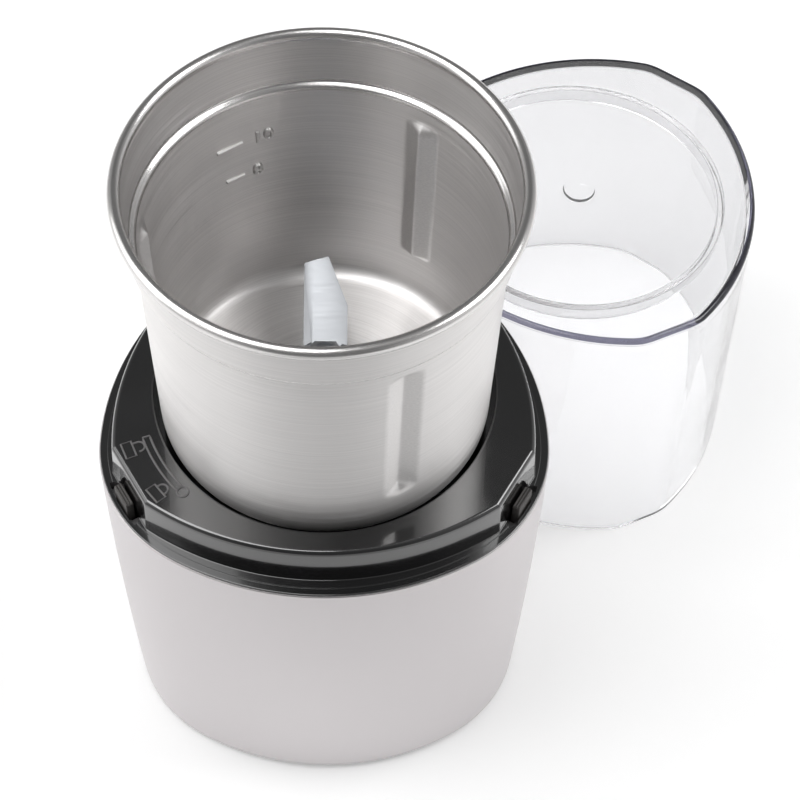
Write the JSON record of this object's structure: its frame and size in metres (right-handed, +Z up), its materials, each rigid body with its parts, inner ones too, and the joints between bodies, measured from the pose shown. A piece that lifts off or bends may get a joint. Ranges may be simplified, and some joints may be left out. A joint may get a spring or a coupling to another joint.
{
  "type": "electric food chopper",
  "caption": "Electric food chopper: bowed triangular steel motor base, steel bowl that turns into its deck, stacked blades inside, clear lid standing beside it.",
  "frame": {"origin": "floor plane under the common axis of motor, bowl and blades", "axes": "+Z up; +Y to the back corner with the cord inlet; +X to the right seen from the front, where the lid stands"},
  "size_m": [0.1829, 0.196, 0.1963],
  "materials": {
    "sleeve_steel": "satin, vertical grain",
    "bowl_steel": "satin outside, spun inside",
    "blade_steel": "ground",
    "shaft_steel": "turned",
    "bearing_steel": "ground",
    "spring_steel": "drawn wire",
    "zinc_screw": "zinc plated",
    "deck_gloss": "polished",
    "lid_clear": "clear, polished",
    "chassis_black": "fine grain",
    "cover_black": "fine grain",
    "ring_black": "fine grain",
    "foot_black": "satin",
    "fan_grey": "moulded",
    "hub_grey": "moulded",
    "rubber_black": "matte",
    "gasket_grey": "matte",
    "bracket_alu": "die cast",
    "lamination": "stamped stack",
    "copper": "enamelled wire",
    "commutator_copper": "turned",
    "brass": "drawn",
    "bronze": "sintered",
    "carbon": "pressed",
    "switch_brown": "moulded",
    "plunger_red": "moulded",
    "film_yellow": "dipped",
    "block_cream": "moulded",
    "acetal_white": "moulded"
  },
  "bodies": {
    "base": {"outer_sleeve": "sleeve_steel", "inner_chassis": "chassis_black", "deck": "deck_gloss", "bottom_cover": "cover_black", "rubber_feet": "rubber_black", "cover_screws": "zinc_screw", "deck_screws": "zinc_screw", "cord_gland": "rubber_black", "motor_upper_bracket": "bracket_alu", "motor_lower_bracket": "bracket_alu", "motor_mounts": "rubber_black", "mount_screws": "zinc_screw", "stator_core": "lamination", "field_coils": "copper", "stator_bolts": "zinc_screw", "upper_bearing": "bearing_steel", "lower_bearing": "bearing_steel", "brush_holders": "brass", "carbon_brushes": "carbon", "brush_springs": "spring_steel", "switch_body": "switch_brown", "switch_screws": "zinc_screw", "noise_capacitor": "film_yellow", "terminal_block": "block_cream", "return_springs": "spring_steel"},
    "start_ring": {"start_ring": "ring_black"},
    "switch_lever": {"switch_lever": "spring_steel"},
    "switch_plunger": {"switch_plunger": "plunger_red"},
    "motor_rotor": {"motor_shaft": "shaft_steel", "armature_core": "lamination", "armature_winding": "copper", "commutator": "commutator_copper", "cooling_fan": "fan_grey", "drive_socket": "hub_grey"},
    "bowl_bearing": {"bearing_sleeve": "bronze", "shaft_seal": "gasket_grey"},
    "bowl": {"bowl_shell": "bowl_steel", "bowl_foot": "foot_black", "foot_gasket": "gasket_grey", "foot_screws": "zinc_screw"},
    "blade_rotor": {"blade_shaft": "shaft_steel", "thrust_washer": "acetal_white", "lower_blade": "blade_steel", "blade_spacer": "acetal_white", "upper_blade": "blade_steel", "blade_nut": "shaft_steel", "shaft_clip": "spring_steel", "driven_hub": "hub_grey"},
    "lid": {"lid_shell": "lid_clear"}
  },
  "joints": [
    {"name": "lid_press", "type": "slide", "parent": "base", "child": "start_ring", "axis": [0, 0, -1], "range_m": [0, 0.0038], "stiffness_N_per_m": 1500, "springref_m": -0.004, "deforming": ["return_springs"]},
    {"name": "switch_lever_tilt", "type": "hinge", "parent": "base", "child": "switch_lever", "pos_m": [-0.0475, 0.0085, 0.08555], "axis": [1, 0, 0], "range_deg": [0, 13.9]},
    {"name": "switch_plunger_slide", "type": "slide", "parent": "base", "child": "switch_plunger", "axis": [0, 0, -1], "range_m": [0, 0.00066]},
    {"name": "motor_spin", "type": "hinge", "parent": "base", "child": "motor_rotor", "pos_m": [0, 0, 0.06], "axis": [0, 0, 1], "continuous": true},
    {"name": "bowl_lift", "type": "slide", "parent": "base", "child": "bowl_bearing", "axis": [0, 0, 1], "range_m": [0, 0.15]},
    {"name": "bowl_turn", "type": "hinge", "parent": "bowl_bearing", "child": "bowl", "pos_m": [0, 0, 0.11], "axis": [0, 0, 1], "range_deg": [0, 23]},
    {"name": "blade_spin", "type": "hinge", "parent": "bowl_bearing", "child": "blade_rotor", "pos_m": [0, 0, 0.11], "axis": [0, 0, 1], "continuous": true},
    {"name": "lid_lift", "type": "slide", "parent": "base", "child": "lid", "axis": [0, 0, 1], "range_m": [0, 0.15]}
  ],
  "couplings": [
    {"joint": "switch_lever_tilt", "follows": "lid_press", "rad_per_m": 63.8},
    {"joint": "switch_plunger_slide", "follows": "lid_press", "ratio": 0.172},
    {"joint": "blade_spin", "follows": "motor_spin", "ratio": 1}
  ]
}
